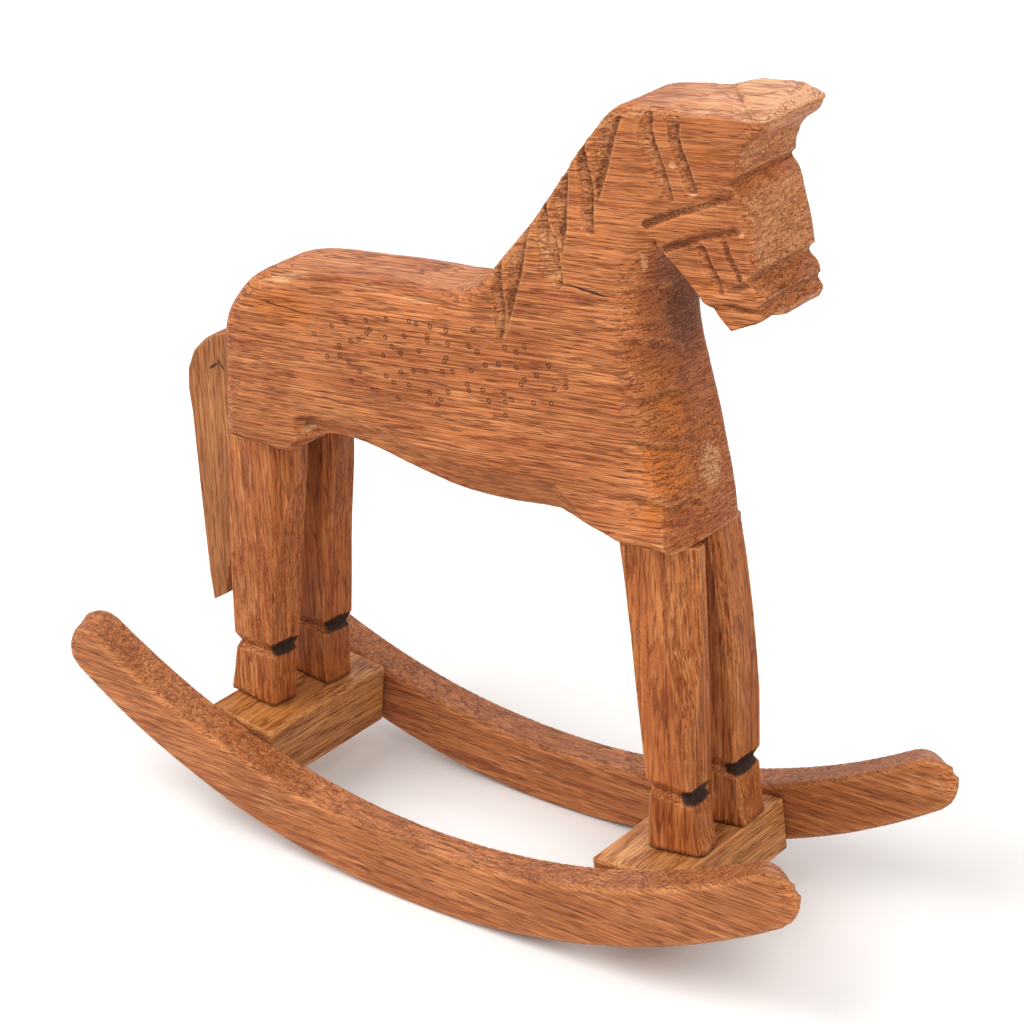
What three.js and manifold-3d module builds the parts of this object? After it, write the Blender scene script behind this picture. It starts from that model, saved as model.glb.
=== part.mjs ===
// Wooden rocking horse figurine: a horse carved from one plank, with four glued legs and a
// glued tail, standing on two cross blocks between a pair of bowed rockers.
// Millimetres, +Z up, +X towards the head, +Y the horse's left side. The origin is on the
// ground under the middle of the rockers.

import * as THREE from 'three';
import { mergeVertices } from 'three/addons/utils/BufferGeometryUtils.js';
import Module from 'manifold-3d';

const wasm = await Module();
wasm.setup();

const { lerp, clamp, smoothstep } = THREE.MathUtils;

// Sizes that fit pieces together
const glueGap = 0.3;            // clearance between two pieces that touch
const rockerSpacing = 49.7;     // clear width between the two rockers
const legRoom = 80.3;           // height from the rear cross block up to the horse's belly
const chestRise = 1;            // how much higher the chest ends than the belly at the rump

// Rockers
const rockerLength = 244;
const rockerThickness = 12.2;
const rockerDepth = 17.4;       // height of the board at its middle
const soleRadius = 214;         // curve that stands on the ground
const deckRadius = 215;         // curve of the upper edge
const rockerTipRound = 8;       // how far the rounding of each tip reaches along the board
const rockerEdge = 1;           // chamfer along the edges
const frontTipSkew = 7;         // each front tip is cut off askew, longer on its right side
const rearTipSkew = 2.4;        // and each rear tip longer on its left side
const rightRockerLead = -3.9;   // each board lies a little back or forward of the middle
const leftRockerLead = 3.6;

// Cross blocks, tilted to follow the rockers. top is the height at the middle of the upper face.
const rearBlock = { x: -68.8, top: 28.7, length: 22.6, height: 17.8, tilt: -0.12 };
const frontBlock = { x: 62.8, top: 26.2, length: 26.6, height: 14.6, tilt: 0.11 };
const blockEdge = 0.7;

// Legs
const fetlockCut = 1.3;         // depth of the notch above each hoof
const hoofHeight = 15;          // from the block up to the lower lip of the notch
const notchWidth = 4.8;
const legEdge = 0.8;
const legWidth = 20.6;          // of a hind leg at its top, along the horse
const legDepth = 9.8;           // across the horse
const broadLegDepth = 12.2;

// Carved plank: body, neck and head
const plankLength = 147;        // from the rump to the chest
const plankHeight = 114.6;      // from the belly to the top of the head
const plankThickness = 31.4;
const headThickness = 27.6;
const rumpX = -77;

// Tail
const tailWidth = 22.2;
const tailThickness = 8;
const tailTop = 24.4;           // its root, above the belly
const tailDrop = 84;            // from the top of its root to its tip
const tailEdge = 1;

const bellyZ = rearBlock.top + legRoom;
const rockerY = (rockerSpacing + rockerThickness) / 2;

// The outline and the carving are drawn on a plank of this size, measured from the corner of
// rump and belly, and follow the plank's own length and height.
const drawnLength = 147;
const drawnHeight = 114.6;

function plankPoint([along, up]) {
  return new THREE.Vector2(
    rumpX + along * plankLength / drawnLength,
    bellyZ + up * plankHeight / drawnHeight,
  );
}

// The plank is thinner from the neck upwards
function halfThickness(height) {
  const up = (height - bellyZ) / plankHeight;
  return lerp(plankThickness, headThickness, smoothstep(up, 0.3, 0.74)) / 2;
}

// Helpers

// Closed mesh through rings of equal length, with a flat cap on each end
function loft(rings) {
  const count = rings[0].length;
  const points = rings.flat();
  const triangles = [];
  for (let r = 0; r + 1 < rings.length; r++) {
    for (let i = 0; i < count; i++) {
      const a = r * count + i;
      const b = r * count + (i + 1) % count;
      triangles.push([a, b, b + count], [a, b + count, a + count]);
    }
  }
  const ends = [
    { ring: rings[0], start: 0, flip: true },
    { ring: rings.at(-1), start: points.length - count, flip: false },
  ];
  for (const { ring, start, flip } of ends) {
    const hub = new THREE.Vector3();
    for (const point of ring) hub.addScaledVector(point, 1 / count);
    points.push(hub);
    for (let i = 0; i < count; i++) {
      const edge = [start + i, start + (i + 1) % count];
      if (flip) edge.reverse();
      triangles.push([...edge, points.length - 1]);
    }
  }
  let volume = 0;
  for (const [a, b, c] of triangles) {
    volume += points[a].dot(new THREE.Vector3().crossVectors(points[b], points[c]));
  }
  if (volume < 0) triangles.forEach((triangle) => triangle.reverse());
  const geometry = new THREE.BufferGeometry().setFromPoints(points);
  geometry.setIndex(triangles.flat());
  return geometry;
}

// Outline in X and Z made a board centred on y = 0, chamfered all round
function board(shape, thickness, chamfer) {
  const geometry = new THREE.ExtrudeGeometry(shape, {
    depth: thickness - 2 * chamfer,
    bevelEnabled: chamfer > 0,
    bevelThickness: chamfer,
    bevelSize: chamfer,
    bevelOffset: -chamfer,
    bevelSegments: 1,
  });
  geometry.translate(0, 0, chamfer - thickness / 2);
  geometry.rotateX(Math.PI / 2);
  return geometry;
}

function toSolid(geometry) {
  const bare = geometry.clone();
  bare.deleteAttribute('normal');
  bare.deleteAttribute('uv');
  const merged = mergeVertices(bare, 1e-4);
  return new wasm.Manifold(new wasm.Mesh({
    numProp: 3,
    vertProperties: new Float32Array(merged.attributes.position.array),
    triVerts: new Uint32Array(merged.index.array),
  }));
}

function toGeometry(solid) {
  const mesh = solid.getMesh();
  const geometry = new THREE.BufferGeometry();
  geometry.setAttribute('position', new THREE.BufferAttribute(mesh.vertProperties, 3));
  geometry.setIndex(new THREE.BufferAttribute(mesh.triVerts, 1));
  return geometry;
}

// Rockers

// One cut across the board at an angle along its curve. shrink rounds the tips, and skew moves
// the right side of the cut forward and the left side back.
function rockerRing(angle, shrink, skew, y) {
  const lift = rockerDepth + deckRadius - soleRadius;
  const halfWidth = rockerThickness / 2 * (0.5 + 0.5 * shrink);
  const edge = Math.min(rockerEdge, halfWidth / 2);
  const corners = [
    [-1, -1, 0, edge], [-1, -1, edge, 0], [1, -1, -edge, 0], [1, -1, 0, edge],
    [1, 1, 0, -edge], [1, 1, -edge, 0], [-1, 1, edge, 0], [-1, 1, 0, -edge],
  ];
  return corners.map(([side, level, across, up]) => {
    const turn = angle - side * skew / soleRadius;
    const deck = Math.sqrt(deckRadius ** 2 - (lift * Math.sin(turn)) ** 2) - lift * Math.cos(turn);
    const middle = (soleRadius + deck) / 2;
    const halfDepth = (soleRadius - deck) / 2 * shrink;
    const radius = middle - level * halfDepth - up * shrink;
    return new THREE.Vector3(
      radius * Math.sin(turn),
      y + side * halfWidth + across,
      soleRadius - radius * Math.cos(turn),
    );
  });
}

function rocker(side, lead) {
  const rear = -Math.asin((rockerLength / 2 - lead) / soleRadius);
  const front = Math.asin((rockerLength / 2 + lead) / soleRadius);
  const tip = rockerTipRound / soleRadius;
  const tipSteps = [0, 0.06, 0.18, 0.36, 0.6, 1];
  const angles = tipSteps.map((step) => rear + tip * step);
  const steps = 30;
  for (let i = 1; i < steps; i++) angles.push(lerp(rear + tip, front - tip, i / steps));
  for (const step of [...tipSteps].reverse()) angles.push(front - tip * step);
  const rings = angles.map((angle) => {
    const fromTip = Math.min(angle - rear, front - angle) / tip;
    const shrink = Math.max(0.2, Math.sqrt(1 - (1 - Math.min(fromTip, 1)) ** 2));
    const skew = angle > 0
      ? frontTipSkew / 2 * smoothstep(angle, front * 0.7, front)
      : rearTipSkew / 2 * smoothstep(-angle, -rear * 0.7, -rear);
    return rockerRing(angle, shrink, skew, side * rockerY);
  });
  return loft(rings);
}

// Cross blocks

// Height of a block's upper face at a place along X
function blockTop(block, x) {
  return block.top + Math.tan(block.tilt) * (x - block.x);
}

function crossBlock(block) {
  const outline = [
    [-block.length / 2, 0], [-block.length / 2, -block.height],
    [block.length / 2, -block.height], [block.length / 2, 0],
  ];
  const points = outline.map(([along, up]) => new THREE.Vector2(along, up)
    .rotateAround(new THREE.Vector2(), block.tilt)
    .add(new THREE.Vector2(block.x, block.top)));
  return board(new THREE.Shape(points), rockerSpacing - 2 * glueGap, blockEdge);
}

// Legs

// Each row is a level cut: how far up the hoof or the shank it is, where the rear and the front
// edge lie along X from the middle of the block, how much the front slants back on the right,
// and how far the right front corner is pared away. The lengths are drawn for this leg width
// and follow the legs' own.
const drawnLegWidth = 20.6;
const rearLegForm = {
  hoof: [
    { up: 0, rear: -13.4, front: 3.2, slant: 0.6, pare: 0.8 },
    { up: 0.5, rear: -12, front: 3.8, slant: 0.8, pare: 0.8 },
    { up: 1, rear: -10.6, front: 4.8, slant: 1.1, pare: 0.8 },
  ],
  shank: [
    { up: 0, rear: -10.9, front: 6, slant: 2, pare: 0.8 },
    { up: 0.36, rear: -10.2, front: 8.6, slant: 2.6, pare: 0.8 },
    { up: 0.62, rear: -9.2, front: 10.9, slant: 2, pare: 2.2 },
    { up: 0.84, rear: -8, front: 12.9, slant: 1, pare: 4.4 },
    { up: 1, rear: -6.8, front: 13.8, slant: 0.5, pare: 6 },
  ],
};
const frontLegForm = {
  hoof: [
    { up: 0, rear: -3.8, front: 12, slant: -1.6, pare: 2.2 },
    { up: 0.5, rear: -3.8, front: 10.8, slant: -0.9, pare: 1.4 },
    { up: 1, rear: -3.4, front: 10.1, slant: 0, pare: 0.8 },
  ],
  shank: [
    { up: 0, rear: -4.4, front: 10.2, slant: 0.4, pare: 0.8 },
    { up: 0.26, rear: -6.1, front: 10.2, slant: 0.8, pare: 0.8 },
    { up: 0.4, rear: -7, front: 10, slant: 0.6, pare: 3.6 },
    { up: 0.6, rear: -8.2, front: 9.7, slant: 0.4, pare: 6.6 },
    { up: 0.82, rear: -9.8, front: 9.3, slant: 0.3, pare: 8.2 },
    { up: 1, rear: -11.2, front: 8.7, slant: 0, pare: 9.2 },
  ],
};

// How far each leg's outer face is set in from the plank's side, how far its foot, middle and
// top stand forward of the drawn form, and the share of the paring that it got
const legs = [
  {
    name: 'rear_right_leg', block: rearBlock, form: rearLegForm,
    side: -1, inset: 1.7, depth: legDepth, lead: [0, 0, 0], pared: 1,
  },
  {
    name: 'rear_left_leg', block: rearBlock, form: rearLegForm,
    side: 1, inset: 0.7, depth: legDepth, lead: [3.6, 1.8, 0], pared: 0.6,
  },
  {
    name: 'front_right_leg', block: frontBlock, form: frontLegForm,
    side: -1, inset: 2.1, depth: legDepth, lead: [0, 0, 0], pared: 1,
  },
  {
    name: 'front_left_leg', block: frontBlock, form: frontLegForm,
    side: 1, inset: -1.5, depth: broadLegDepth, lead: [0.6, 0.6, -3.4], pared: 0.3,
  },
];

function legRing(leg, row, z, topZ, inset) {
  const share = clamp((z - leg.block.top) / (topZ - leg.block.top), 0, 1);
  const [footLead, middleLead, topLead] = leg.lead;
  const bow = middleLead - (footLead + topLead) / 2;
  const x = leg.block.x + lerp(footLead, topLead, share) + bow * Math.sin(Math.PI * share);
  const outer = leg.side * (plankThickness / 2 - leg.inset);
  const inner = outer - leg.side * leg.depth;
  const right = Math.min(outer, inner) + inset;
  const left = Math.max(outer, inner) - inset;
  const scale = legWidth / drawnLegWidth;
  const rear = x + row.rear * scale + inset;
  const front = x + row.front * scale - inset;
  const slant = row.slant * scale;
  const rightFront = front - slant;
  const pare = Math.max(row.pare * scale * leg.pared, legEdge);
  const pareY = Math.min(pare, (left - right) * 0.7);
  return [
    [rear + legEdge, right],
    [rightFront - pare, right],
    [rightFront + slant * pareY / (left - right), right + pareY],
    [front, left - legEdge],
    [front - legEdge, left],
    [rear + legEdge, left],
    [rear, left - legEdge],
    [rear, right + legEdge],
  ].map(([px, py]) => new THREE.Vector3(px, py, z));
}

function legSolid(leg) {
  const { hoof, shank } = leg.form;
  const rise = leg.block === frontBlock ? chestRise : 0;
  const lipZ = leg.block.top + hoofHeight;
  const kneeZ = lipZ + notchWidth;
  const topZ = bellyZ + rise * plankHeight / drawnHeight - glueGap;
  const rings = hoof.map((row) => legRing(leg, row, lerp(leg.block.top, lipZ, row.up), topZ, 0));
  for (const point of rings[0]) point.z = blockTop(leg.block, point.x) + glueGap;
  rings.push(legRing(leg, shank[0], lipZ + notchWidth * 0.45, topZ, fetlockCut));
  rings.push(...shank.map((row) => legRing(leg, row, lerp(kneeZ, topZ, row.up), topZ, 0)));
  return loft(rings);
}

// Carved plank

// Each row is one cut through the body or neck: where it meets the back and the belly, its
// width as a share of the plank's, and how far its upper and lower edges are rounded
const torsoRows = [
  { top: [1.9, 27], foot: [0, 4.5], width: 0.58, round: [3, 2.5] },
  { top: [3.2, 33], foot: [0.2, 0], width: 0.82, round: [5, 3] },
  { top: [5.8, 39.6], foot: [3.6, 0], width: 0.95, round: [7, 3.5] },
  { top: [10.4, 45.4], foot: [9, 0], width: 0.99, round: [8.5, 3.5] },
  { top: [17.4, 48.8], foot: [16.5, 0], width: 1, round: [8.5, 3.5] },
  { top: [26, 50.2], foot: [23.8, 0], width: 1, round: [8, 3.5] },
  { top: [33, 50.8], foot: [30.5, 4.2], width: 1, round: [8, 5] },
  { top: [41, 51.5], foot: [37.5, 7.2], width: 1, round: [8, 5.5] },
  { top: [51, 52.5], foot: [49, 7.2], width: 1, round: [8, 5.5] },
  { top: [63, 53.2], foot: [63, 4.9], width: 1, round: [7.5, 5] },
  { top: [75, 53.8], foot: [77, 2.6], width: 1, round: [7, 5] },
  { top: [85, 57.2], foot: [88, 2.3], width: 1, round: [5.5, 5] },
  { top: [93.5, 65.5], foot: [100, 3.2], width: 1, round: [4, 4.5] },
  { top: [103, 76.6], foot: [112, 4.4], width: 1, round: [3.5, 4] },
  { top: [109.5, 85], foot: [121, 2.4], width: 1, round: [3.2, 3] },
  { top: [115.5, 93.8], foot: [130, chestRise], width: 1, round: [3, 2.5] },
  { top: [119, 98.6], foot: [139, chestRise], width: 1, round: [3, 3.5] },
  { top: [122, 102.4], foot: [145.8, chestRise], width: 1, round: [3, 2] },
  { top: [123, 103.6], foot: [146.6, 3], width: 1, round: [3, 2] },
  { top: [125.1, 106.4], foot: [144.8, 15], width: 1, round: [4.4, 2] },
  { top: [128.1, 109.1], foot: [141.4, 31], width: 1, round: [6, 2] },
  { top: [132.5, 110.8], foot: [138, 47], width: 1, round: [6, 2] },
  { top: [138.1, 111.4], foot: [137.4, 64], width: 1, round: [4.6, 2] },
  { top: [143.5, 112.2], foot: [139.5, 76], width: 1, round: [3.6, 3] },
  { top: [148, 113.2], foot: [144, 84], width: 1, round: [3.6, 3] },
];

// Cuts through the head: where each meets the face and the jaw
const headRows = [
  { top: [174, 119], foot: [143, 119], width: 1, round: [2, 1] },
  { top: [171.4, 113.4], foot: [143, 113], width: 1, round: [2, 1] },
  { top: [168.4, 108.8], foot: [142, 107], width: 1, round: [2, 1] },
  { top: [165, 104.6], foot: [141, 102], width: 1, round: [2.5, 1] },
  { top: [163.8, 98.5], foot: [139, 95], width: 1, round: [3, 1] },
  { top: [165.8, 92.5], foot: [137.5, 87], width: 1, round: [3, 1.2] },
  { top: [167.8, 84], foot: [140, 80], width: 1, round: [3, 1.6] },
  { top: [169, 77], foot: [146.5, 73.6], width: 1, round: [3, 1.8] },
  { top: [170.8, 71], foot: [152.6, 67.6], width: 0.99, round: [3, 2] },
  { top: [171.8, 67], foot: [156.8, 63.2], width: 0.97, round: [3, 2] },
  { top: [170.6, 64.4], foot: [160.4, 60.2], width: 0.93, round: [2.5, 2] },
];

const roundSteps = 4;

function plankRing(top, foot, width, topRound, footRound, halfAt) {
  const length = top.distanceTo(foot);
  const half = plankThickness / 2;
  const corners = [
    { side: 1, at: footRound, radius: footRound, turn: -Math.PI / 2 },
    { side: 1, at: length - topRound, radius: topRound, turn: 0 },
    { side: -1, at: length - topRound, radius: topRound, turn: Math.PI / 2 },
    { side: -1, at: footRound, radius: footRound, turn: Math.PI },
  ];
  const ring = [];
  for (const corner of corners) {
    for (let i = 0; i <= roundSteps; i++) {
      const angle = corner.turn + Math.PI / 2 * i / roundSteps;
      const y = corner.side * (half - corner.radius) + corner.radius * Math.cos(angle);
      const share = (corner.at + corner.radius * Math.sin(angle)) / length;
      const point = foot.clone().lerp(top, share);
      ring.push(new THREE.Vector3(point.x, y * width * halfAt(point.y) / half, point.y));
    }
  }
  return ring;
}

function carve(rows, halfAt) {
  const tops = new THREE.SplineCurve(rows.map((row) => plankPoint(row.top)));
  const feet = new THREE.SplineCurve(rows.map((row) => plankPoint(row.foot)));
  const sizes = new THREE.CatmullRomCurve3(
    rows.map((row) => new THREE.Vector3(row.width, ...row.round)),
  );
  const rings = [];
  const steps = (rows.length - 1) * 2;
  for (let i = 0; i <= steps; i++) {
    const share = i / steps;
    const size = sizes.getPoint(share);
    rings.push(plankRing(tops.getPoint(share), feet.getPoint(share), ...size.toArray(), halfAt));
  }
  return toSolid(loft(rings));
}

// Paring that rounds off the front edges of chest and neck, from below the chest up to the
// throat. right and left are how far it reaches along the side and across the front.
const chestPares = [
  { at: [146.6, -3], right: [3.5, 11], left: [3.5, 3.5] },
  { at: [146.4, 4], right: [3.5, 12], left: [3.5, 3.5] },
  { at: [144.8, 15], right: [4.5, 13], left: [3.5, 3.5] },
  { at: [141.4, 31], right: [5.5, 13], left: [4, 4] },
  { at: [138, 47], right: [8.5, 11], left: [5, 5] },
  { at: [137.2, 58], right: [10, 9.5], left: [6, 6] },
  { at: [137.4, 66], right: [9, 8], left: [6, 6] },
  { at: [138.6, 74], right: [5, 5], left: [5, 5] },
  { at: [140.6, 80], right: [1, 1], left: [1, 1] },
];

const knifeReach = 1.2;         // how far a cutting shape stands clear of the surface

function chestPare(name, side) {
  const line = new THREE.SplineCurve(chestPares.map((row) => plankPoint(row.at)));
  const sizes = new THREE.SplineCurve(chestPares.map((row) => new THREE.Vector2(...row[name])));
  const steps = (chestPares.length - 1) * 2;
  const arcSteps = 6;
  const rings = [];
  for (let i = 0; i <= steps; i++) {
    const point = line.getPoint(i / steps);
    const tangent = line.getTangent(i / steps);
    const inward = new THREE.Vector2(-tangent.y, tangent.x);
    const size = sizes.getPoint(i / steps);
    const half = halfThickness(point.y);
    const corners = [[-knifeReach, half - size.y]];
    for (let j = 0; j <= arcSteps; j++) {
      const angle = Math.PI / 2 * j / arcSteps;
      corners.push([size.x * (1 - Math.cos(angle)), half - size.y * (1 - Math.sin(angle))]);
    }
    corners.push([size.x, half + knifeReach], [-knifeReach, half + knifeReach]);
    rings.push(corners.map(([depth, y]) => {
      const place = point.clone().addScaledVector(inward, depth);
      return new THREE.Vector3(place.x, side * y, place.y);
    }));
  }
  return toSolid(loft(rings));
}

// V-shaped knife cut on one side of the plank. Each station gives where its long slope starts,
// its bottom and the top of its steep wall. The cuts on the left are shallower.
const leftDepthShare = 0.6;

function knifeCut({ depth, stations }, side, halfAt) {
  const lines = [0, 1, 2].map((corner) => (
    new THREE.SplineCurve(stations.map((station) => plankPoint(station[corner])))
  ));
  const steps = (stations.length - 1) * 2;
  const rings = [];
  for (let i = 0; i <= steps; i++) {
    const share = i / steps;
    const fade = 1 - 0.6 * smoothstep(share, 0.75, 1);
    const cutDepth = depth * fade * (side > 0 ? leftDepthShare : 1);
    const [slope, bottom, wall] = lines.map((line) => line.getPoint(share));
    const surface = halfAt(bottom.y);
    const stretch = 1 + knifeReach / cutDepth;
    const high = surface + knifeReach;
    rings.push([
      [bottom.clone().lerp(slope, stretch), high],
      [bottom.clone().lerp(wall, stretch), high],
      [bottom, surface - cutDepth],
    ].map(([place, y]) => new THREE.Vector3(place.x, side * y, place.y)));
  }
  return toSolid(loft(rings));
}

// Locks of the mane, in pairs that meet at the foot, from the crest down the neck
const maneCuts = [
  { depth: 1.9, stations: [
    [[92.6, 69], [95.4, 69], [96.4, 69.8]],
    [[93.1, 60.5], [95.4, 60.9], [96.7, 61.2]],
    [[93.3, 55.5], [96, 56], [97.6, 56]],
    [[93.5, 50.4], [96.4, 50.6], [97.8, 51.2]],
    [[94.7, 44.8], [95.5, 45], [96.3, 46.2]],
  ] },
  { depth: 2.1, stations: [
    [[96.2, 70], [104.4, 78], [105.4, 79.4]],
    [[97.2, 64.6], [102.6, 69.8], [103.7, 70.8]],
    [[97.4, 61.3], [101.2, 64], [102.6, 64.6]],
    [[97.2, 57], [99.5, 59], [101.2, 59.4]],
    [[96.3, 51], [97.6, 52.4], [99, 52.2]],
    [[95.8, 47], [96.4, 47.2], [97.2, 47]],
  ] },
  { depth: 2.4, stations: [
    [[107.6, 86], [108.8, 86.4], [109.6, 86.8]],
    [[107.3, 79.1], [110.1, 78.3], [110.8, 78.4]],
    [[106.9, 74.8], [111.8, 75.3], [112.4, 75.7]],
    [[106.8, 69.8], [112.8, 71.5], [113.4, 72]],
    [[107, 65.8], [113.7, 67.7], [114.3, 68.2]],
    [[109.4, 62.6], [114.2, 63.2], [114.8, 63.6]],
  ] },
  { depth: 2.2, stations: [
    [[109.4, 87], [116.2, 97.4], [117, 98.2]],
    [[110.5, 81], [115.7, 87.8], [116.5, 88.3]],
    [[111.6, 77.9], [115, 82.8], [116.3, 83.3]],
    [[112.4, 75.4], [114.4, 78.4], [116.1, 78.7]],
    [[113, 71.4], [114, 72.4], [115.5, 72.4]],
  ] },
  { depth: 2.3, stations: [
    [[118.2, 101], [120.2, 101.6], [120.8, 102]],
    [[119.2, 93.3], [121.9, 93.8], [122.6, 94.1]],
    [[119.5, 88.5], [123, 89.1], [123.7, 89.6]],
    [[120.1, 84.4], [123.2, 84.9], [123.9, 85]],
    [[121, 78.4], [123.6, 78.4], [124.3, 78.4]],
  ] },
  { depth: 2.2, stations: [
    [[121.2, 100.4], [131.1, 108.4], [132.5, 109.2]],
    [[122.2, 95.1], [129, 103], [130.6, 103.6]],
    [[122.8, 92.7], [127.2, 98.2], [129.2, 98.6]],
    [[123.4, 89.6], [125.6, 93], [127.4, 92.6]],
    [[123.8, 86.6], [124.4, 87], [125.2, 86.4]],
  ] },
  { depth: 2.2, stations: [
    [[137.6, 116], [139.2, 116.4], [140.2, 117]],
    [[136.3, 104.2], [139.9, 105.7], [141, 106.3]],
    [[137.8, 99], [141.6, 101.4], [142.4, 102]],
    [[141.2, 94.1], [143.6, 96.8], [144.4, 97.4]],
    [[144.2, 89.8], [146, 90.4], [146.6, 90.7]],
  ] },
  { depth: 2.2, stations: [
    [[144.6, 117], [146.2, 117.4], [147, 118]],
    [[144.8, 105.6], [147.2, 106], [148.2, 106.1]],
    [[146, 101.3], [148.7, 101.7], [149.7, 101.9]],
    [[148.1, 97.1], [150.6, 97.5], [151.5, 97.7]],
    [[150.4, 92.6], [152.2, 93.4], [152.9, 93.8]],
  ] },
];

// Bridle straps, the bars between them and the sides of noseband and mouth, on each cheek
const cheekCuts = [
  { depth: 1.3, stations: [
    [[137.4, 83.8], [137.8, 83], [138.6, 82]],
    [[143.7, 87.7], [143.8, 86], [144, 85]],
    [[147.4, 89.5], [147.4, 87.6], [147.4, 86.6]],
    [[155.6, 93.2], [155.8, 91.2], [156, 90.2]],
    [[162, 95.5], [162.8, 94.6], [164, 93.6]],
  ] },
  { depth: 1.4, stations: [
    [[142, 78.4], [142.6, 77.8], [143.4, 77.2]],
    [[149, 82.4], [149.8, 81], [150.8, 80.2]],
    [[155.8, 85.5], [156.6, 84], [157.6, 83.1]],
    [[164.6, 87.4], [164.8, 86.2], [165, 85.3]],
  ] },
  { depth: 1.3, stations: [
    [[152.4, 81], [154.3, 81], [155.1, 81]],
    [[154, 76.2], [156.2, 76.6], [157, 76.8]],
    [[156.2, 72.5], [158.2, 73.4], [158.9, 73.9]],
    [[158, 70], [159.6, 70.4], [160.3, 70.7]],
  ] },
  { depth: 1.1, stations: [
    [[159, 83.4], [160.2, 83.4], [160.7, 83.5]],
    [[160.5, 79.4], [161.6, 79.5], [162.1, 79.6]],
    [[162.4, 76.5], [163.5, 76.9], [164, 77.2]],
    [[163.6, 74.4], [164.5, 74.4], [164.9, 74.5]],
  ] },
  { depth: 0.9, stations: [
    [[172.5, 77.6], [172.4, 76.2], [172.4, 75.2]],
    [[166.2, 75], [166.2, 73.6], [166.2, 72.6]],
    [[160.4, 72.4], [160.4, 71.2], [160.4, 70.4]],
  ] },
  { depth: 0.7, stations: [
    [[174, 71.2], [174, 70.2], [174, 69.4]],
    [[166.4, 68.2], [166.4, 67.2], [166.4, 66.4]],
    [[160.2, 66], [160.3, 65.2], [160.3, 64.4]],
  ] },
];

// Grooves across the face: brow, noseband and mouth
const faceCuts = [
  { at: [163.6, 97], width: 3, depth: 2.2 },
  { at: [168.4, 75], width: 3.4, depth: 2.2 },
  { at: [170.6, 68.8], width: 2.6, depth: 1.6 },
];

function faceCut({ at, width, depth }) {
  const point = plankPoint(at);
  const open = 2;
  return toSolid(board(new THREE.Shape([
    new THREE.Vector2(point.x - depth, point.y),
    new THREE.Vector2(point.x + open, point.y - width),
    new THREE.Vector2(point.x + open, point.y + width),
  ]), plankThickness, 0));
}

// Saw cut over the poll and the forelock, from the crest of the neck to the tip of the forelock
const pollLine = [
  [138, 118], [143.5, 111.7], [148.4, 112.7], [153.4, 114.3], [163.7, 114.6],
  [170.1, 112.9], [180, 109], [180, 130], [138, 130],
];

// Pared facet on the right of the poll, through three points given along, across as a share
// of half the head's thickness, and up
const pollFacet = [[148, 0.5, 113.4], [169, -1, 112.8], [139, -1, 110.8]];

function halfSpace(corners) {
  const [a, b, c] = corners.map(([along, across, up]) => {
    const point = plankPoint([along, up]);
    return new THREE.Vector3(point.x, across * headThickness / 2, point.y);
  });
  const normal = new THREE.Plane().setFromCoplanarPoints(a, b, c).normal;
  if (normal.z < 0) normal.negate();
  const block = new THREE.BoxGeometry(plankHeight, plankHeight, plankHeight);
  block.translate(0, 0, plankHeight / 2);
  block.applyQuaternion(new THREE.Quaternion().setFromUnitVectors(new THREE.Vector3(0, 0, 1), normal));
  block.translate(a.x, a.y, a.z);
  return toSolid(block);
}

function horse() {
  const headHalf = () => headThickness / 2;
  let solid = carve(torsoRows, halfThickness);
  solid = solid.subtract(chestPare('right', -1));
  solid = solid.subtract(chestPare('left', 1));
  solid = solid.add(carve(headRows, headHalf));
  const sawCut = board(new THREE.Shape(pollLine.map(plankPoint)), 2 * plankThickness, 0);
  solid = solid.subtract(toSolid(sawCut));
  solid = solid.subtract(halfSpace(pollFacet));
  for (const side of [-1, 1]) {
    for (const cut of maneCuts) solid = solid.subtract(knifeCut(cut, side, halfThickness));
    for (const cut of cheekCuts) solid = solid.subtract(knifeCut(cut, side, headHalf));
  }
  for (const cut of faceCuts) solid = solid.subtract(faceCut(cut));
  return toGeometry(solid);
}

// Tail

// Level cuts at shares of the drop: rear and front edge as shares of the width, measured back
// from the rump, and how much the front edge of the last cut rises
const tailRows = [
  { down: 0, rear: 0.31, front: 0, rise: 0 },
  { down: 0.02, rear: 0.54, front: 0, rise: 0 },
  { down: 0.05, rear: 0.72, front: 0, rise: 0 },
  { down: 0.1, rear: 0.9, front: 0, rise: 0 },
  { down: 0.17, rear: 1, front: 0, rise: 0 },
  { down: 0.24, rear: 1, front: 0, rise: 0 },
  { down: 0.32, rear: 0.97, front: 0.03, rise: 0 },
  { down: 0.6, rear: 0.94, front: 0.25, rise: 0 },
  { down: 0.9, rear: 0.9, front: 0.52, rise: 0 },
  { down: 1, rear: 0.86, front: 0.57, rise: 0.18 },
];

function tail() {
  const rootTop = plankPoint(torsoRows[0].top);
  const rootFoot = plankPoint(torsoRows[0].foot);
  const half = tailThickness / 2;
  const rings = tailRows.map((row) => {
    const z = bellyZ + tailTop - row.down * tailDrop;
    const share = clamp((z - rootFoot.y) / (rootTop.y - rootFoot.y), 0, 1);
    const rump = lerp(rootFoot.x, rootTop.x, share) - glueGap;
    const rear = rump - row.rear * tailWidth;
    const front = rump - row.front * tailWidth;
    const edge = tailEdge;
    const rise = row.rise * tailWidth;
    return [
      [rear + edge, half], [front - edge, half], [front, half - edge], [front, edge - half],
      [front - edge, -half], [rear + edge, -half], [rear, edge - half], [rear, half - edge],
    ].map(([x, y]) => new THREE.Vector3(x, y, z + rise * (x - rear) / (front - rear)));
  });
  return loft(rings);
}

// Finishes: the same hardwood, stained, with paler blocks and tail

const stainedWood = new THREE.Color(0xb5713f);
const paleWood = new THREE.Color(0xc98f5a);
const rockerWood = new THREE.Color(0xa8623a);

const model = new THREE.Group();

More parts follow.
